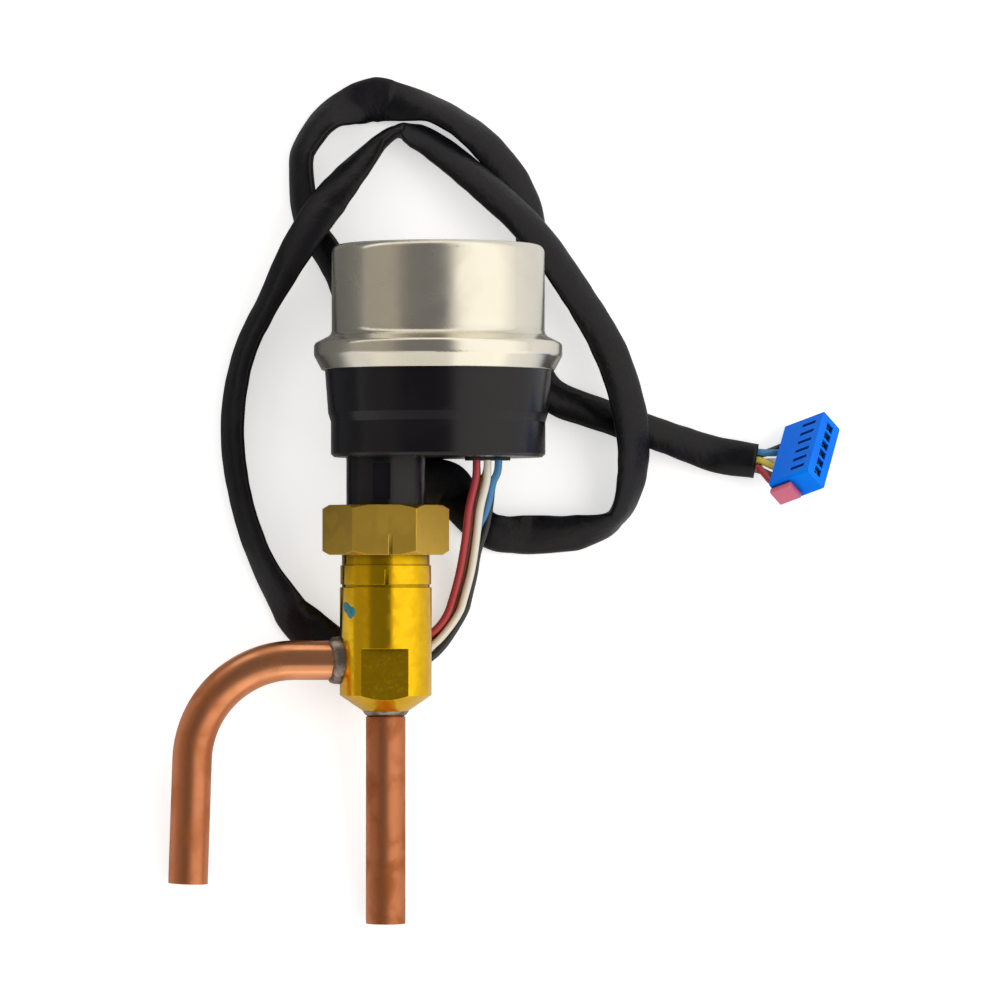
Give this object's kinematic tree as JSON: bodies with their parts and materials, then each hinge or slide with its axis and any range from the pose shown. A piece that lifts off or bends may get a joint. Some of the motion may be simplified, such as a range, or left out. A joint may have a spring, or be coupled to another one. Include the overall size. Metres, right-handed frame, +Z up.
{
  "type": "expansion valve",
  "caption": "Electronic refrigerant expansion valve: stepper motor and gear head over a brass needle valve with two brazed copper tubes and a sleeved lead with a plug.",
  "frame": {"origin": "centre of the valve's own bounding box, without its cord, on the surface it lies on", "axes": "+Y along the lying valve from its tubes to its motor, +Z up from the surface"},
  "size_m": [0.1368, 0.1759, 0.0494],
  "materials": {
    "stainless": "drawn stainless steel, satin",
    "housing_black": "moulded black, fine grain",
    "nut_brass": "dull tarnished brass",
    "body_brass": "bright turned brass",
    "tube_copper": "drawn copper tube",
    "braze_silver": "silver brazing alloy",
    "plate_steel": "zinc-plated sheet steel",
    "coil_wire": "enamelled copper wire",
    "magnet_grey": "sintered ferrite",
    "gear_plastic": "natural acetal",
    "seal_rubber": "black rubber",
    "sleeve_black": "soft black sleeving",
    "lead_red": "lead insulation",
    "lead_white": "lead insulation",
    "lead_blue": "lead insulation",
    "lead_brown": "lead insulation",
    "lead_yellow": "lead insulation",
    "lead_black": "lead insulation",
    "plug_blue": "moulded nylon",
    "retainer_pink": "moulded nylon",
    "contact_tin": "tin-plated"
  },
  "bodies": {
    "valve": {"bellows": "stainless", "bellows_holder": "body_brass", "cable_sleeve": "sleeve_black", "drive_bush": "body_brass", "end_plate": "plate_steel", "gear_housing": "housing_black", "gear_plate": "plate_steel", "inlet_braze": "braze_silver", "inlet_tube": "tube_copper", "inner_leads": "lead_white", "intermediate_pin": "stainless", "lead_black": "lead_black", "lead_blue": "lead_blue", "lead_brown": "lead_brown", "lead_grommet": "seal_rubber", "lead_red": "lead_red", "lead_white": "lead_white", "lead_yellow": "lead_yellow", "lower_bearing": "body_brass", "lower_bobbin": "gear_plastic", "lower_inner_yoke": "plate_steel", "lower_outer_yoke": "plate_steel", "lower_winding": "coil_wire", "motor_cap": "stainless", "neck_seal": "seal_rubber", "outlet_braze": "braze_silver", "outlet_tube": "tube_copper", "output_pin": "stainless", "plug_contacts": "contact_tin", "plug_housing": "plug_blue", "plug_leads": "lead_white", "plug_retainer": "retainer_pink", "return_spring": "stainless", "terminal_pins": "contact_tin", "terminal_strip": "housing_black", "union_nut": "nut_brass", "upper_bearing": "body_brass", "upper_bobbin": "gear_plastic", "upper_inner_yoke": "plate_steel", "upper_outer_yoke": "plate_steel", "upper_winding": "coil_wire", "valve_body": "body_brass"},
    "rotor": {"rotor_magnet": "magnet_grey", "rotor_hub": "gear_plastic", "rotor_shaft": "stainless", "rotor_pinion": "gear_plastic"},
    "intermediate_gear": {"intermediate_gear": "gear_plastic"},
    "output_gear": {"output_gear": "gear_plastic"},
    "driver_screw": {"driver_screw": "stainless"},
    "needle": {"needle": "stainless", "thrust_ball": "stainless"}
  },
  "joints": [
    {"name": "output_turn", "type": "hinge", "parent": "valve", "child": "output_gear", "pos_m": [0.00406, 0.02892, 0.02138], "axis": [0, -0.9857, -0.1686], "range_deg": [0, 1080]},
    {"name": "intermediate_turn", "type": "hinge", "parent": "valve", "child": "intermediate_gear", "pos_m": [0.00981, 0.02979, 0.01274], "axis": [0, -0.9857, -0.1686], "range_deg": [-3600, 0]},
    {"name": "rotor_turn", "type": "hinge", "parent": "valve", "child": "rotor", "pos_m": [0.01454, 0.04301, 0.0244], "axis": [0, -0.9857, -0.1686], "range_deg": [0, 12000]},
    {"name": "screw_feed", "type": "slide", "parent": "output_gear", "child": "driver_screw", "axis": [0, -0.9857, -0.1686], "range_m": [0, 0.0024]},
    {"name": "needle_travel", "type": "slide", "parent": "valve", "child": "needle", "axis": [0, -0.9857, -0.1686], "range_m": [0, 0.0024], "deforming": ["return_spring", "bellows"]}
  ],
  "couplings": [
    {"joint": "intermediate_turn", "follows": "output_turn", "ratio": -3.3333},
    {"joint": "rotor_turn", "follows": "output_turn", "ratio": 11.111},
    {"joint": "screw_feed", "follows": "output_turn", "m_per_rad": 0.00012732},
    {"joint": "needle_travel", "follows": "output_turn", "m_per_rad": 0.00012732}
  ]
}
